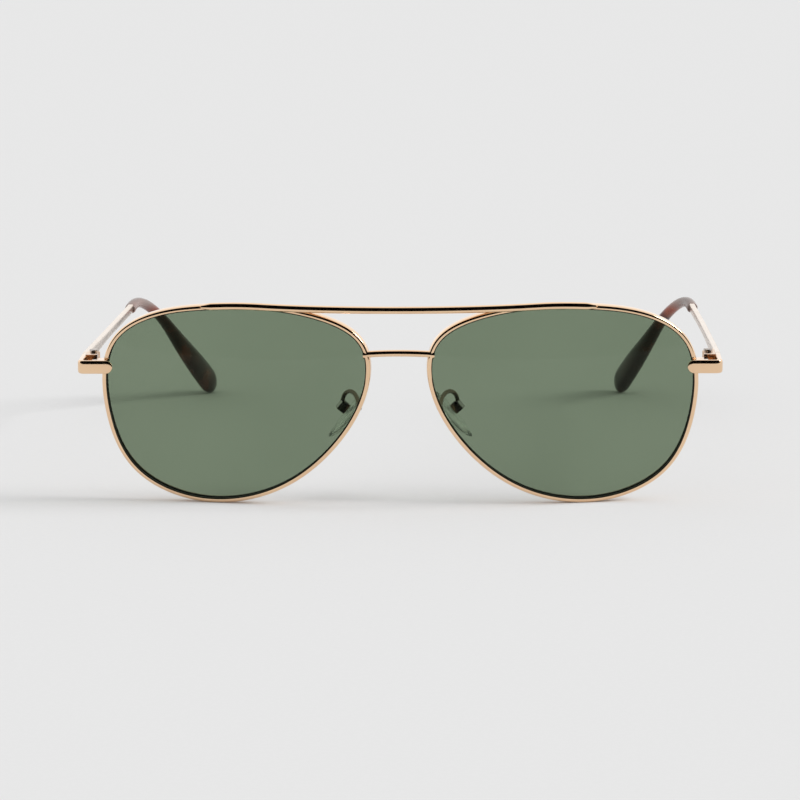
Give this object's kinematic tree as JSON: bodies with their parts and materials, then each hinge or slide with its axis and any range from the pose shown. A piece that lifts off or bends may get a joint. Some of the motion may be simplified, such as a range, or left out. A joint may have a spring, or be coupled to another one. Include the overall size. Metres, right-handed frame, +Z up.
{
  "type": "aviator sunglasses",
  "caption": "Wire-rimmed aviator sunglasses: teardrop tinted lenses in slim rims, brow bar over a bridge, folding temples with moulded tips, rocking nose pads.",
  "frame": {"origin": "middle of the object's box on the table plane: mid-width on the nose line, midway front to back, at the height the rims and temple tips stand on", "axes": "+X to the wearer's left, -Y the way the lenses face, +Y along the open temples to the wearer, +Z up"},
  "size_m": [0.143, 0.1432, 0.046],
  "materials": {
    "rim_metal": "polished rose gold plate",
    "lens_glass": "grey-green tinted glass, polished",
    "bar_metal": "polished rose gold plate",
    "fitting_metal": "polished rose gold plate",
    "screw_steel": "turned steel with a warm plate",
    "pad_box_metal": "darkened metal, satin",
    "clear_silicone": "clear silicone, smooth",
    "temple_metal": "polished rose gold plate",
    "tortoiseshell_acetate": "dark tortoiseshell acetate, polished"
  },
  "bodies": {
    "front": {"rim_left": "rim_metal", "rim_right": "rim_metal", "lens_left": "lens_glass", "lens_right": "lens_glass", "brow_bar": "bar_metal", "bridge": "bar_metal", "end_piece_left": "fitting_metal", "end_piece_right": "fitting_metal", "closing_block_upper_left": "fitting_metal", "closing_block_upper_right": "fitting_metal", "closing_block_lower_left": "fitting_metal", "closing_block_lower_right": "fitting_metal", "hinge_front_left": "fitting_metal", "hinge_front_right": "fitting_metal", "pad_arm_left": "fitting_metal", "pad_arm_right": "fitting_metal", "rim_screw_left": "screw_steel", "rim_screw_right": "screw_steel", "hinge_screw_left": "screw_steel", "hinge_screw_right": "screw_steel", "pad_screw_left": "screw_steel", "pad_screw_right": "screw_steel", "pad_box_left": "pad_box_metal", "pad_box_right": "pad_box_metal"},
    "temple_left": {"hinge_temple_left": "fitting_metal", "temple_bar_left": "temple_metal", "temple_tip_left": "tortoiseshell_acetate"},
    "temple_right": {"hinge_temple_right": "fitting_metal", "temple_bar_right": "temple_metal", "temple_tip_right": "tortoiseshell_acetate"},
    "nose_pad_left": {"nose_pad_left": "clear_silicone"},
    "nose_pad_right": {"nose_pad_right": "clear_silicone"}
  },
  "joints": [
    {"name": "temple_left_fold", "type": "hinge", "parent": "front", "child": "temple_left", "pos_m": [0.0686, -0.05532, 0.0306], "axis": [0, 0, 1], "range_deg": [0, 83]},
    {"name": "temple_right_fold", "type": "hinge", "parent": "front", "child": "temple_right", "pos_m": [-0.0686, -0.05532, 0.0306], "axis": [0, 0, -1], "range_deg": [0, 74]},
    {"name": "nose_pad_left_rock", "type": "hinge", "parent": "front", "child": "nose_pad_left", "pos_m": [0.0126, -0.06002, 0.02085], "axis": [0.1392, 0.9903, 0], "range_deg": [-10, 10]},
    {"name": "nose_pad_right_rock", "type": "hinge", "parent": "front", "child": "nose_pad_right", "pos_m": [-0.0126, -0.06002, 0.02085], "axis": [-0.1392, 0.9903, 0], "range_deg": [-10, 10]}
  ]
}
